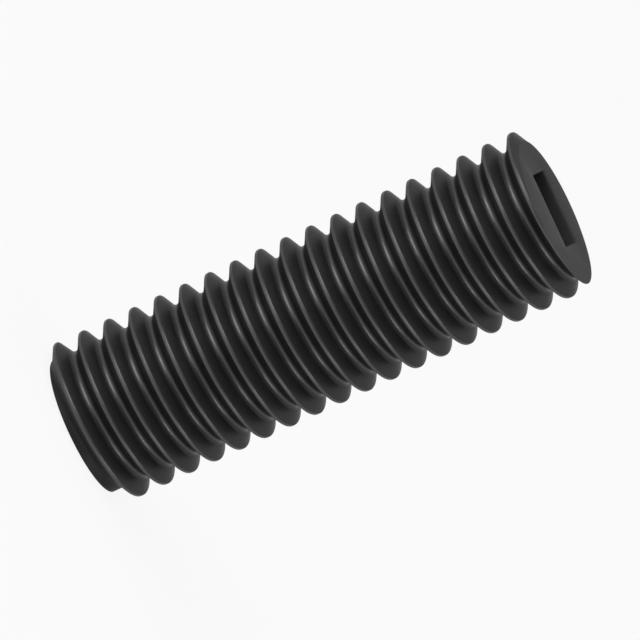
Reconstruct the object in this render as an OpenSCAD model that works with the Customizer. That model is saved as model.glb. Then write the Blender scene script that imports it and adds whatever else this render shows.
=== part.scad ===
// Slotted grub screw: a headless screw, threaded from its flat point to its slotted face.
// It stands on its flat point at z = 0, with the slot at the top and its long side along X.

/* [Body] */
// Overall length, from the flat point to the slotted face
screw_length = 15; // [8:0.5:20]
// Chamfer round the flat point
point_chamfer = 0.08; // [0.04:0.02:0.2]

/* [Thread] */
// Diameter over the thread crests
major_d = 4.92; // [4:0.02:8]
// Axial distance from one turn to the next
pitch = 0.8; // [0.7:0.05:1.1]
// Height of the thread ridge above its root
thread_depth = 0.44; // [0.3:0.01:0.5]
// Angle between the two flanks
flank_angle = 60; // [50:1:65]
// Width of the flat along the crest
crest_flat = 0.1; // [0.04:0.01:0.18]
// Height of the crest where the ridge first has its full depth, on the -X side
first_crest = 0.344; // [0.3:0.002:0.6]
// Part of a turn over which the ridge rises out of the core, before its first crest
runin_turn = 0.25; // [0.1:0.05:0.4]

/* [Slot] */
// Length of the closed slot, across the slotted face
slot_length = 2.1; // [1.4:0.05:2.4]
// Width of the slot, for the blade of a screwdriver
slot_width = 1.5; // [0.8:0.05:1.7]
// Depth of the slot below the slotted face
slot_depth = 1.6; // [0.8:0.1:3]
// Broken edge round the mouth of the slot
slot_mouth = 0.09; // [0.02:0.01:0.12]

/* [Hidden] */
$fn = 96;
// Steps in one turn of the thread
turn_steps = 48;
// How far the ridge's foot is sunk into the core, so that the two are one solid
sink = 0.06;
// How far cutting shapes run past the faces that they cut
overcut = 1;
core_r = major_d / 2 - thread_depth;
foot_r = core_r - sink;
flank_slope = tan(flank_angle / 2);
step_angle = 360 / turn_steps;
// Steps are counted from the first full crest, and run on past the slotted face
runin_steps = ceil(runin_turn * turn_steps);
last_step = ceil((screw_length - first_crest + pitch) / pitch * turn_steps);

// Share of the full ridge height, from 0 where the ridge is still inside the core to 1
function rise(step) = min(1, (step + runin_steps) / runin_steps);

// Four corners of the ridge section at one step: foot, crest, crest, foot
function ridge_section(step) =
    let (crest_r = foot_r + sink / 2 + (thread_depth + sink / 2) * rise(step))
    let (foot_half = crest_flat / 2 + (crest_r - foot_r) * flank_slope)
    let (z = first_crest + pitch * step / turn_steps)
    [
        [foot_r, z - foot_half],
        [crest_r, z - crest_flat / 2],
        [crest_r, z + crest_flat / 2],
        [foot_r, z + foot_half],
    ];

function ridge_ring(step) =
    let (a = 180 + step * step_angle)
    [for (p = ridge_section(step)) [p[0] * cos(a), p[0] * sin(a), p[1]]];

module ridge() {
    points = [for (step = [-runin_steps:last_step]) each ridge_ring(step)];
    rings = last_step + runin_steps;
    // Each side panel is two triangles between a ring and the next
    sides = [
        for (n = [0:rings - 1], k = [0:3])
            let (a = 4 * n + k)
            let (b = 4 * n + (k + 1) % 4)
            each [[a, b, b + 4], [a, b + 4, a + 4]]
    ];
    start_cap = [[3, 2, 1, 0]];
    end_cap = [[for (k = [0:3]) 4 * rings + k]];
    polyhedron(points, concat(sides, start_cap, end_cap));
}

// Solid core, with the chamfer round its flat point
module core() {
    rotate_extrude()
        polygon([
            [0, 0],
            [core_r - point_chamfer, 0],
            [core_r, point_chamfer],
            [core_r, screw_length],
            [0, screw_length],
        ]);
}

// Everything above the slotted face and below the point, where the ridge is cut off flat
module end_cuts() {
    cutter_r = major_d;
    translate([0, 0, screw_length])
        cylinder(r = cutter_r, h = overcut + pitch);
    translate([0, 0, -overcut - pitch])
        cylinder(r = cutter_r, h = overcut + pitch);
}

// Broken edge round the slot's mouth: the cutter widens on above the face, as far as below it
module mouth_break() {
    low = [slot_length / 2, slot_width / 2, screw_length - slot_mouth];
    high = low + 2 * slot_mouth * [1, 1, 1];
    points = [
        for (p = [low, high])
            each [[-p[0], -p[1], p[2]], [p[0], -p[1], p[2]], [p[0], p[1], p[2]], [-p[0], p[1], p[2]]]
    ];
    sides = [for (k = [0:3]) [k, k + 4, (k + 1) % 4 + 4, (k + 1) % 4]];
    floor_and_top = [[0, 1, 2, 3], [7, 6, 5, 4]];
    polyhedron(points, concat(sides, floor_and_top));
}

module slot() {
    translate([-slot_length / 2, -slot_width / 2, screw_length - slot_depth])
        cube([slot_length, slot_width, slot_depth + overcut]);
    mouth_break();
}

module grub_screw() {
    color([0.16, 0.16, 0.17])
        difference() {
            union() {
                core();
                ridge();
            }
            end_cuts();
            slot();
        }
}

grub_screw();
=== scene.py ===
import math

import bmesh
import bpy
from mathutils import Matrix, Vector


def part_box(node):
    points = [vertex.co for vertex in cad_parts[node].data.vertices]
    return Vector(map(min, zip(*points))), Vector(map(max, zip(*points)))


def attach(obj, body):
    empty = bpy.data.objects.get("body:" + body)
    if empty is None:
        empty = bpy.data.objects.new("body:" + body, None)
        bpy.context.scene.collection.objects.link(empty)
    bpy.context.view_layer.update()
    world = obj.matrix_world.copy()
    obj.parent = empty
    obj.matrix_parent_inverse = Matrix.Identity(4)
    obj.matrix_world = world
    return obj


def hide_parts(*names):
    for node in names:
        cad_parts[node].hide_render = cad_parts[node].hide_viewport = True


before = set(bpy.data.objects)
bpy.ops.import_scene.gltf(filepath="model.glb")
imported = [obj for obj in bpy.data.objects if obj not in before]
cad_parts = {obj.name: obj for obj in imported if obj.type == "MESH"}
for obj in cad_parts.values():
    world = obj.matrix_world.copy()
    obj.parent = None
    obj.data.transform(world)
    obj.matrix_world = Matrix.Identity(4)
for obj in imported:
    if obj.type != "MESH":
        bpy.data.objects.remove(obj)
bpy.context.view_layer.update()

# Sizes of the screw in metres, read from the frame where it gives them
MM = 0.001
low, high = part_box("grub_screw")
LENGTH = high[2] - low[2]
CREST_R = (high[0] - low[0]) / 2

# Thread: the same values as in the screw's source
PITCH = 0.8 * MM
DEPTH = 0.44 * MM
CREST_FLAT = 0.1 * MM
FLANK_ANGLE = 60              # degrees between the two flanks
FLANK_SLOPE = math.tan(math.radians(FLANK_ANGLE / 2))
FIRST_CREST = 0.344 * MM      # height of the crest where it is first whole, on the -X side
RUNIN_TURN = 0.25             # part of a turn over which the ridge rises out of the core
ROOT_R = CREST_R - DEPTH
FOOT_HALF = CREST_FLAT / 2 + DEPTH * FLANK_SLOPE

# Slot: the same values as in the screw's source
SLOT_LENGTH = 2.1 * MM
SLOT_WIDTH = 1.5 * MM
SLOT_DEPTH = 1.6 * MM
SLOT_MOUTH = 0.09 * MM        # the mouth's broken edge, which is rounded here
MOUTH_END = 0.04 * MM         # and rounded less at the slot's two ends

# Small roundings, which the source leaves out
CREST_ROUND = 0.024 * MM      # how far the crest's rounding runs along each side of its edges
ROOT_ROUND = 0.093 * MM       # and the root's hollow along each side of its corners
SLOT_CORNER = 0.03 * MM       # radius of the slot's upright corners
POINT_RISE = 0.035 * MM       # height of the rounding round the flat point
POINT_INSET = 0.07 * MM       # and how far it draws the point in

# Steps in one turn of the thread, and in each rounding
TURN_STEPS = 96
ROUND_STEPS = 6
CORNER_STEPS = 3
MOUTH_STEPS = 4
POINT_STEPS = 5

# The thread is wound from below the point to above the face, and then cut to length
TURNS_BELOW = 2
SPARE_TURNS = 4

TINY = 0.001 * MM             # points nearer than this count as one place
MERGE_BELOW = TINY / 10
SMOOTH_BELOW = math.radians(25)


def deselect_everything():
    if bpy.context.object and bpy.context.object.mode != "OBJECT":
        bpy.ops.object.mode_set(mode="OBJECT")
    bpy.ops.object.select_all(action="DESELECT")


def select_where(piece, kind, test):
    """Selects, in edit mode, the vertices, edges or faces that pass a test."""
    bpy.ops.mesh.select_mode(type=kind)
    bpy.ops.mesh.select_all(action="DESELECT")
    mesh = bmesh.from_edit_mesh(piece.data)
    group = {"VERT": mesh.verts, "EDGE": mesh.edges, "FACE": mesh.faces}[kind]
    for item in group:
        if test(item):
            item.select_set(True)
    mesh.select_flush_mode()
    bmesh.update_edit_mesh(piece.data)


def at_height(item, z):
    return all(abs(vert.co.z - z) < TINY for vert in item.verts)


def faces_outwards():
    bpy.ops.mesh.select_all(action="SELECT")
    bpy.ops.mesh.normals_make_consistent(inside=False)


def is_corner(vert, r):
    """A corner of the profile at one radius, which is not one of the line's two ends."""
    return abs(-vert.co.x - r) < TINY and len(vert.link_edges) == 2


def thread_profile():
    """One pitch of the thread as a line of edges, from mid root to mid root, corners rounded."""
    corners = [
        (ROOT_R, -PITCH / 2),
        (ROOT_R, -FOOT_HALF),
        (CREST_R, -CREST_FLAT / 2),
        (CREST_R, CREST_FLAT / 2),
        (ROOT_R, FOOT_HALF),
        (ROOT_R, PITCH / 2),
    ]
    points = [Vector((-r, 0, FIRST_CREST - TURNS_BELOW * PITCH + z)) for r, z in corners]
    deselect_everything()
    bpy.ops.mesh.primitive_plane_add(size=PITCH, location=points[0])
    piece = bpy.context.object
    piece.name = "grub_screw_body"
    bpy.ops.object.transform_apply(location=True, rotation=True, scale=True)
    bpy.ops.object.mode_set(mode="EDIT")
    bpy.ops.mesh.merge(type="CENTER")
    for here, there in zip(points, points[1:]):
        bpy.ops.mesh.extrude_vertices_move(TRANSFORM_OT_translate={"value": there - here})
    for r, rounding in ((CREST_R, CREST_ROUND), (ROOT_R, ROOT_ROUND)):
        select_where(piece, "VERT", lambda vert: is_corner(vert, r))
        bpy.ops.mesh.bevel(offset=rounding, affect="VERTICES", segments=ROUND_STEPS)
    bpy.ops.object.mode_set(mode="OBJECT")
    return piece


def wind_thread(piece):
    """Winds the profile round the axis, from below the point to above the slotted face."""
    screw = piece.modifiers.new("thread", "SCREW")
    screw.axis = "Z"
    screw.screw_offset = PITCH
    screw.iterations = math.ceil(LENGTH / PITCH) + SPARE_TURNS
    screw.steps = TURN_STEPS
    screw.render_steps = TURN_STEPS
    screw.use_merge_vertices = True
    screw.merge_threshold = TINY
    bpy.ops.object.modifier_apply(modifier=screw.name)


def run_in(piece):
    """Lets the ridge rise out of the core behind the point, over a quarter turn."""
    for vert in piece.data.vertices:
        x, y, z = vert.co
        turn = (math.atan2(y, x) - math.pi) / (2 * math.pi)
        crest_turns = (z - FIRST_CREST) / PITCH
        turn += round(crest_turns - turn)
        rise = min(1, max(0, 1 + turn / RUNIN_TURN))
        r = math.hypot(x, y)
        wanted = ROOT_R + (r - ROOT_R) * rise
        vert.co.x *= wanted / r
        vert.co.y *= wanted / r


def cut_ends(piece):
    """Cuts the rod square at the slotted face and just above the flat point."""
    bpy.ops.object.mode_set(mode="EDIT")
    for height, side in ((LENGTH, 1), (POINT_RISE, -1)):
        bpy.ops.mesh.select_all(action="SELECT")
        bpy.ops.mesh.bisect(
            plane_co=(0, 0, height), plane_no=(0, 0, side), clear_outer=True,
            threshold=MERGE_BELOW,
        )
    select_where(piece, "EDGE", lambda edge: at_height(edge, LENGTH) and edge.is_boundary)
    bpy.ops.mesh.edge_face_add()


def round_point(piece):
    """Draws the rim of the flat point down and in along a quarter of an ellipse, and closes it."""
    select_where(piece, "EDGE", lambda edge: at_height(edge, POINT_RISE) and edge.is_boundary)
    drop_before = 0.0
    r_before = ROOT_R
    for step in range(1, POINT_STEPS + 1):
        angle = math.pi / 2 * step / POINT_STEPS
        drop = POINT_RISE * math.sin(angle)
        r = ROOT_R - POINT_INSET * (1 - math.cos(angle))
        bpy.ops.mesh.extrude_edges_move(
            TRANSFORM_OT_translate={"value": (0, 0, drop_before - drop)}
        )
        scale = r / r_before
        bpy.ops.transform.resize(value=(scale, scale, 1), center_override=(0, 0, 0))
        drop_before = drop
        r_before = r
    bpy.ops.mesh.edge_face_add()


def slot_cutter():
    """The slot's room as a solid: a sheet at the face, drawn in round the mouth, then down."""
    deselect_everything()
    bpy.ops.mesh.primitive_plane_add(size=1, location=(0, 0, LENGTH))
    cutter = bpy.context.object
    cutter.name = "slot_cutter"
    cutter.scale = (SLOT_LENGTH + 2 * SLOT_MOUTH, SLOT_WIDTH + 2 * SLOT_MOUTH, 1)
    bpy.ops.object.transform_apply(location=True, rotation=True, scale=True)
    bpy.ops.object.mode_set(mode="EDIT")
    bpy.ops.mesh.select_all(action="SELECT")
    bpy.ops.mesh.bevel(offset=SLOT_CORNER, affect="VERTICES", segments=CORNER_STEPS)
    bpy.ops.mesh.select_all(action="SELECT")
    bpy.ops.mesh.extrude_region_move(TRANSFORM_OT_translate={"value": (0, 0, SLOT_MOUTH)})
    faces_outwards()
    select_where(cutter, "FACE", lambda face: at_height(face, LENGTH))
    size_before = Vector((SLOT_LENGTH, SLOT_WIDTH)) + 2 * Vector((SLOT_MOUTH, SLOT_MOUTH))
    mouth_size = size_before.copy()
    drop_before = 0.0
    for step in range(1, MOUTH_STEPS + 1):
        angle = math.pi / 2 * step / MOUTH_STEPS
        size = mouth_size - 2 * math.sin(angle) * Vector((MOUTH_END, SLOT_MOUTH))
        drop = SLOT_MOUTH * (1 - math.cos(angle))
        bpy.ops.mesh.extrude_region_move(
            TRANSFORM_OT_translate={"value": (0, 0, drop_before - drop)}
        )
        scale = (size.x / size_before.x, size.y / size_before.y, 1)
        bpy.ops.transform.resize(value=scale, center_override=(0, 0, 0))
        size_before = size
        drop_before = drop
    bpy.ops.mesh.extrude_region_move(
        TRANSFORM_OT_translate={"value": (0, 0, SLOT_MOUTH - SLOT_DEPTH)}
    )
    faces_outwards()
    bpy.ops.object.mode_set(mode="OBJECT")
    return cutter


def cut_slot(piece):
    cutter = slot_cutter()
    deselect_everything()
    piece.select_set(True)
    bpy.context.view_layer.objects.active = piece
    cut = piece.modifiers.new("slot", "BOOLEAN")
    cut.operation = "DIFFERENCE"
    cut.solver = "EXACT"
    cut.object = cutter
    bpy.ops.object.modifier_apply(modifier=cut.name)
    bpy.data.objects.remove(cutter)


def grub_screw_body():
    piece = thread_profile()
    wind_thread(piece)
    run_in(piece)
    cut_ends(piece)
    round_point(piece)
    bpy.ops.mesh.select_all(action="SELECT")
    bpy.ops.mesh.remove_doubles(threshold=MERGE_BELOW)
    faces_outwards()
    bpy.ops.object.mode_set(mode="OBJECT")
    cut_slot(piece)
    bpy.ops.object.shade_smooth_by_angle(angle=SMOOTH_BELOW)
    return piece


def linear(hex_colour):
    """An sRGB hex colour as linear red, green, blue and alpha."""
    shades = [int(hex_colour[i:i + 2], 16) / 255 for i in (1, 3, 5)]
    return tuple(
        c / 12.92 if c <= 0.04045 else ((c + 0.055) / 1.055) ** 2.4 for c in shades
    ) + (1.0,)


def node(tree, kind, settings=None, links=None):
    """Adds a node, with its settings and input values, and links its inputs from other sockets."""
    made = tree.nodes.new(kind)
    for name, value in (settings or {}).items():
        if isinstance(name, int) or name in made.inputs:
            made.inputs[name].default_value = value
        else:
            setattr(made, name, value)
    for name, source in (links or {}).items():
        tree.links.new(source, made.inputs[name])
    return made


# Colours and gloss of the black oxide, and the painted shade on its point
COAT_DARK = "#484848"
COAT_PALE = "#545454"
WORN_COLOUR = "#505050"
# painted shade: the darker colour of the point and the first turn's lower flank
POINT_PAINTED_SHADE = "#2c2c2c"
MIRROR_TINT = "#c8c8c8"       # dims the mirror at grazing angles
METALLIC = 0.9                # the rest is the oxide's own dull black
COAT_SMOOTHEST = 0.35
COAT_ROUGHEST = 0.41
WORN_ROUGHNESS = 0.33
DULL_ROUGHNESS = 0.5
PUNCHED_ROUGHNESS = 0.8

# True sizes of its patterns
MOTTLE = 0.9 * MM             # width of the soft patches that the bath leaves
GRAIN = 0.07 * MM             # real grain is a few microns wide, which would not show
GRAIN_HEIGHT = 0.0003 * MM
NOISE_LOW = 0.3               # nearly all of a noise pattern's values lie between these two
NOISE_HIGH = 0.7

# Where its coat is worn or dull, and where painted shade darkens the point
WORN_BAND = 0.008 * MM        # how far down from the crest the coat is rubbed smooth
WORN_LEAST = 0.6              # share of the wear that the darkest patches keep
WORN_FULL = 0.6               # value of the mottle from which the wear is whole
DULL_SHADED_POINT = 0.25 * MM        # height of the dull band round the point, which also carries painted shade
MASK_FADE = 0.06 * MM
DULL_SHADED_TURN = 0.5               # part of the first turn over which its lower flank is dull and carries painted shade
DULL_SHADED_TURN_END = 0.9
SLOT_ROOM_R = 1.7 * MM        # a radius that lies between the slot's corners and the root
SLOT_LIP = 0.03 * MM          # how far below the face the slot's dull walls begin


def point_shade_and_dull_mask(tree, place, radius):
    """1 on the point and on the first turn's lower flank, 0 on the rest of the screw: where
    painted shade and a dull finish go.
    """
    axes = node(tree, "ShaderNodeSeparateXYZ", links={0: place}).outputs
    angle = node(
        tree, "ShaderNodeMath", {"operation": "ARCTAN2"}, {0: axes["Y"], 1: axes["X"]}
    ).outputs[0]
    turns = node(
        tree, "ShaderNodeMath", {"operation": "MULTIPLY_ADD", 1: 1 / (2 * math.pi), 2: 0.5},
        {0: angle},
    ).outputs[0]
    crest = node(
        tree, "ShaderNodeMath",
        {"operation": "MULTIPLY_ADD", 1: PITCH, 2: FIRST_CREST - CREST_FLAT / 2},
        {0: turns},
    ).outputs[0]
    below_crest = node(
        tree, "ShaderNodeMath", {"operation": "SUBTRACT"}, {0: crest, 1: axes["Z"]}
    ).outputs[0]
    lower_flank = node(
        tree, "ShaderNodeMapRange",
        {"interpolation_type": "SMOOTHSTEP", "From Min": 0.0, "From Max": MASK_FADE},
        {"Value": below_crest},
    ).outputs["Result"]
    near_start = node(
        tree, "ShaderNodeMapRange",
        {"interpolation_type": "SMOOTHSTEP", "From Min": DULL_SHADED_TURN_END, "From Max": DULL_SHADED_TURN},
        {"Value": turns},
    ).outputs["Result"]
    flank = node(
        tree, "ShaderNodeMath", {"operation": "MULTIPLY"}, {0: lower_flank, 1: near_start}
    ).outputs[0]
    low_band = node(
        tree, "ShaderNodeMapRange",
        {"interpolation_type": "SMOOTHSTEP",
         "From Min": DULL_SHADED_POINT + MASK_FADE, "From Max": DULL_SHADED_POINT},
        {"Value": axes["Z"]},
    ).outputs["Result"]
    off_crest = node(
        tree, "ShaderNodeMapRange",
        {"interpolation_type": "SMOOTHSTEP", "From Min": CREST_R, "From Max": ROOT_R},
        {"Value": radius},
    ).outputs["Result"]
    point = node(
        tree, "ShaderNodeMath", {"operation": "MULTIPLY"}, {0: low_band, 1: off_crest}
    ).outputs[0]
    return node(
        tree, "ShaderNodeMath", {"operation": "MAXIMUM"}, {0: flank, 1: point}
    ).outputs[0]


def inside_slot(tree, place, radius):
    """1 on the slot's walls and floor and on the flat point, 0 on the rest of the screw."""
    height = node(tree, "ShaderNodeSeparateXYZ", links={0: place}).outputs["Z"]
    below_face = node(
        tree, "ShaderNodeMapRange",
        {"interpolation_type": "SMOOTHSTEP",
         "From Min": LENGTH - SLOT_LIP / 2, "From Max": LENGTH - SLOT_LIP},
        {"Value": height},
    ).outputs["Result"]
    near_axis = node(
        tree, "ShaderNodeMapRange",
        {"interpolation_type": "SMOOTHSTEP",
         "From Min": SLOT_ROOM_R, "From Max": SLOT_ROOM_R - MASK_FADE},
        {"Value": radius},
    ).outputs["Result"]
    return node(
        tree, "ShaderNodeMath", {"operation": "MULTIPLY"}, {0: below_face, 1: near_axis}
    ).outputs[0]


def black_oxide_steel():
    """Steel blackened in a hot oxide bath: a dark satin coat, patchy and finely grained.

    The crests are rubbed smooth. The point's turned end and the punched slot stay dull. The point
    and the first turn's lower flank also carry painted shade, a darker colour."""
    material = bpy.data.materials.new("black_oxide_steel")
    material.use_nodes = True
    tree = material.node_tree
    tree.nodes.clear()
    place = node(tree, "ShaderNodeTexCoord").outputs["Object"]
    across = node(
        tree, "ShaderNodeVectorMath", {"operation": "MULTIPLY", 1: (1, 1, 0)}, {0: place}
    ).outputs[0]
    radius = node(
        tree, "ShaderNodeVectorMath", {"operation": "LENGTH"}, {0: across}
    ).outputs["Value"]
    mottle = node(
        tree, "ShaderNodeTexNoise", {"Scale": 1 / MOTTLE, "Detail": 3.0, "Roughness": 0.6},
        {"Vector": place},
    ).outputs["Fac"]
    grain = node(
        tree, "ShaderNodeTexNoise", {"Scale": 1 / GRAIN, "Detail": 2.0, "Roughness": 0.6},
        {"Vector": place},
    ).outputs["Fac"]
    on_crest = node(
        tree, "ShaderNodeMapRange",
        {"interpolation_type": "SMOOTHSTEP",
         "From Min": CREST_R - WORN_BAND, "From Max": CREST_R - WORN_BAND / 4},
        {"Value": radius},
    ).outputs["Result"]
    rubbed = node(
        tree, "ShaderNodeMapRange",
        {"interpolation_type": "SMOOTHSTEP", "From Min": NOISE_LOW, "From Max": WORN_FULL,
         "To Min": WORN_LEAST, "To Max": 1.0},
        {"Value": mottle},
    ).outputs["Result"]
    worn = node(
        tree, "ShaderNodeMath", {"operation": "MULTIPLY"}, {0: on_crest, 1: rubbed}
    ).outputs[0]
    # painted shade and a dull finish on the point and the first turn's lower flank
    dull_and_shaded = point_shade_and_dull_mask(tree, place, radius)
    punched = inside_slot(tree, place, radius)
    coat = node(
        tree, "ShaderNodeMix",
        {"data_type": "RGBA", 6: linear(COAT_DARK), 7: linear(COAT_PALE)}, {0: mottle},
    ).outputs[2]
    coat_and_worn = node(
        tree, "ShaderNodeMix", {"data_type": "RGBA", 7: linear(WORN_COLOUR)}, {0: worn, 6: coat}
    ).outputs[2]
    # painted shade: darkens the point and the first turn's lower flank
    colour = node(
        tree, "ShaderNodeMix", {"data_type": "RGBA", 7: linear(POINT_PAINTED_SHADE)},
        {0: dull_and_shaded, 6: coat_and_worn},
    ).outputs[2]
    coat_rough = node(
        tree, "ShaderNodeMapRange",
        {"interpolation_type": "SMOOTHSTEP", "From Min": NOISE_LOW, "From Max": NOISE_HIGH,
         "To Min": COAT_SMOOTHEST, "To Max": COAT_ROUGHEST},
        {"Value": grain},
    ).outputs["Result"]
    worn_rough = node(
        tree, "ShaderNodeMix", {"data_type": "FLOAT", "B": WORN_ROUGHNESS},
        {"Factor": worn, "A": coat_rough},
    ).outputs["Result"]
    dull_rough = node(
        tree, "ShaderNodeMix", {"data_type": "FLOAT", "B": DULL_ROUGHNESS},
        {"Factor": dull_and_shaded, "A": worn_rough},
    ).outputs["Result"]
    rough = node(
        tree, "ShaderNodeMix", {"data_type": "FLOAT", "B": PUNCHED_ROUGHNESS},
        {"Factor": punched, "A": dull_rough},
    ).outputs["Result"]
    bump = node(
        tree, "ShaderNodeBump", {"Strength": 1.0, "Distance": GRAIN_HEIGHT}, {"Height": grain}
    )
    shader = node(
        tree, "ShaderNodeBsdfPrincipled",
        {"Metallic": METALLIC, "Specular Tint": linear(MIRROR_TINT)},
        {"Base Color": colour, "Roughness": rough, "Normal": bump.outputs["Normal"]},
    )
    node(tree, "ShaderNodeOutputMaterial", links={"Surface": shader.outputs["BSDF"]})
    return material


# Studio floor
FLOOR_COLOUR = "#e8e8e8"
FLOOR_SIZE = 1.2
FLOOR_GAP = 0.005 * MM        # keeps the floor out of the flat point's own plane
WHITE_SHARE = 0.9             # share of plain white that hides the paper's own shades


def pale_paper():
    """Pale studio paper. Camera, mirror and see-through rays find it white, as in the photo."""
    material = bpy.data.materials.new("studio_floor")
    material.use_nodes = True
    tree = material.node_tree
    tree.nodes.clear()
    paths = node(tree, "ShaderNodeLightPath").outputs
    seen = node(
        tree, "ShaderNodeMath", {"operation": "MAXIMUM"},
        {0: paths["Is Camera Ray"], 1: paths["Is Glossy Ray"]},
    )
    seen_through = node(
        tree, "ShaderNodeMath", {"operation": "MAXIMUM"},
        {0: seen.outputs[0], 1: paths["Is Transmission Ray"]},
    )
    share = node(
        tree, "ShaderNodeMath", {"operation": "MULTIPLY", 1: WHITE_SHARE},
        {0: seen_through.outputs[0]},
    )
    paper = node(tree, "ShaderNodeBsdfDiffuse", {"Color": linear(FLOOR_COLOUR)})
    white = node(tree, "ShaderNodeEmission", {"Color": (1, 1, 1, 1), "Strength": 1.0})
    mix = node(
        tree, "ShaderNodeMixShader",
        links={0: share.outputs[0], 1: paper.outputs[0], 2: white.outputs[0]},
    )
    node(tree, "ShaderNodeOutputMaterial", links={"Surface": mix.outputs[0]})
    return material


# The photograph's view: square to no face, with hardly any perspective
PHOTO_PIXELS = 640
PIXELS_PER_MM = 35.55
TILT = math.radians(12.4)       # how far the slotted end leans towards the viewer
SLANT = math.radians(24.8)      # angle of the screw's axis above the picture's horizontal
MIDDLE_PIXEL = (318.8, 317.7)   # where the middle of the screw lies in the picture
CAMERA_DISTANCE = 0.3


def photo_camera():
    back = Vector((0, -math.cos(TILT), math.sin(TILT)))
    side = Vector((1, 0, 0))
    rise = back.cross(side)
    roll = math.pi / 2 - SLANT
    right = side * math.cos(roll) + rise * math.sin(roll)
    up = back.cross(right)
    off_right = (PHOTO_PIXELS / 2 - MIDDLE_PIXEL[0]) / PIXELS_PER_MM * MM
    off_up = (MIDDLE_PIXEL[1] - PHOTO_PIXELS / 2) / PIXELS_PER_MM * MM
    target = Vector((0, 0, LENGTH / 2)) + right * off_right + up * off_up
    data = bpy.data.cameras.new("photo_camera")
    data.type = "ORTHO"
    data.ortho_scale = PHOTO_PIXELS / PIXELS_PER_MM * MM
    data.clip_start = 0.001
    data.clip_end = 5
    camera = bpy.data.objects.new("photo_camera", data)
    bpy.context.scene.collection.objects.link(camera)
    turn = Matrix((right, up, back)).transposed()
    camera.matrix_world = Matrix.Translation(target + back * CAMERA_DISTANCE) @ turn.to_4x4()
    bpy.context.scene.camera = camera


def stage_floor():
    deselect_everything()
    bpy.ops.mesh.primitive_plane_add(size=FLOOR_SIZE, location=(0, 0, -FLOOR_GAP))
    floor = bpy.context.object
    floor.name = "stage_floor"
    floor.data.materials.append(pale_paper())


LAMP_DISTANCE = 0.30


def softbox(name, azimuth, elevation, width, height, watts):
    """A soft area light that looks at the middle of the screw. Azimuth 0 is the camera's side."""
    turn = math.radians(azimuth)
    lift = math.radians(elevation)
    level = math.cos(lift)
    away = Vector((math.sin(turn) * level, -math.cos(turn) * level, math.sin(lift)))
    data = bpy.data.lights.new(name, "AREA")
    data.shape = "RECTANGLE"
    data.size = width
    data.size_y = height
    data.energy = watts
    lamp = bpy.data.objects.new(name, data)
    bpy.context.scene.collection.objects.link(lamp)
    lamp.location = Vector((0, 0, LENGTH / 2)) + away * LAMP_DISTANCE
    lamp.rotation_euler = away.to_track_quat("Z", "Y").to_euler()


# Brightness of the studio round the floor, where 1 is white
BACK_WALL = 0.52
FRONT_WALL = 0.04             # the room behind the camera
CEILING = 0.6
HORIZON = 0.02                # sine of the height up to which the walls are as white as the floor

# Where one turns into the next, as parts of a direction of length 1
FRONT_END = -0.3
BACK_START = 0.7
WALL_END = 0.3
CEILING_START = 0.9


def studio_world():
    """A pale wall behind the screw, a dim room behind the camera and a soft ceiling."""
    world = bpy.data.worlds.new("studio")
    world.use_nodes = True
    tree = world.node_tree
    tree.nodes.clear()
    place = node(tree, "ShaderNodeTexCoord")
    way = node(tree, "ShaderNodeSeparateXYZ", links={0: place.outputs["Generated"]}).outputs
    wall = node(
        tree, "ShaderNodeMapRange",
        {"interpolation_type": "SMOOTHSTEP", "From Min": FRONT_END, "From Max": BACK_START,
         "To Min": FRONT_WALL, "To Max": BACK_WALL},
        {"Value": way["Y"]},
    ).outputs["Result"]
    overhead = node(
        tree, "ShaderNodeMapRange",
        {"interpolation_type": "SMOOTHSTEP", "From Min": WALL_END, "From Max": CEILING_START},
        {"Value": way["Z"]},
    ).outputs["Result"]
    room = node(
        tree, "ShaderNodeMix", {"data_type": "FLOAT", "B": CEILING},
        {"Factor": overhead, "A": wall},
    ).outputs["Result"]
    above_horizon = node(
        tree, "ShaderNodeMapRange",
        {"interpolation_type": "SMOOTHSTEP", "From Min": HORIZON, "From Max": 2 * HORIZON},
        {"Value": way["Z"]},
    ).outputs["Result"]
    light = node(
        tree, "ShaderNodeMix", {"data_type": "FLOAT", "A": 1.0},
        {"Factor": above_horizon, "B": room},
    ).outputs["Result"]
    sky = node(tree, "ShaderNodeBackground", {"Color": (1, 1, 1, 1)}, {"Strength": light})
    node(tree, "ShaderNodeOutputWorld", links={"Surface": sky.outputs["Background"]})
    bpy.context.scene.world = world


photo_camera()
stage_floor()
studio_world()
softbox("left_softbox", azimuth=-48, elevation=9, width=0.20, height=0.10, watts=0.42)
softbox("right_softbox", azimuth=62, elevation=1, width=0.16, height=0.05, watts=0.24)
softbox("upper_left_softbox", azimuth=-60, elevation=52, width=0.30, height=0.16, watts=0.24)

body = grub_screw_body()
body.data.materials.append(black_oxide_steel())
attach(body, "root")
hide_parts("grub_screw")

bpy.context.scene.view_settings.view_transform = "Standard"
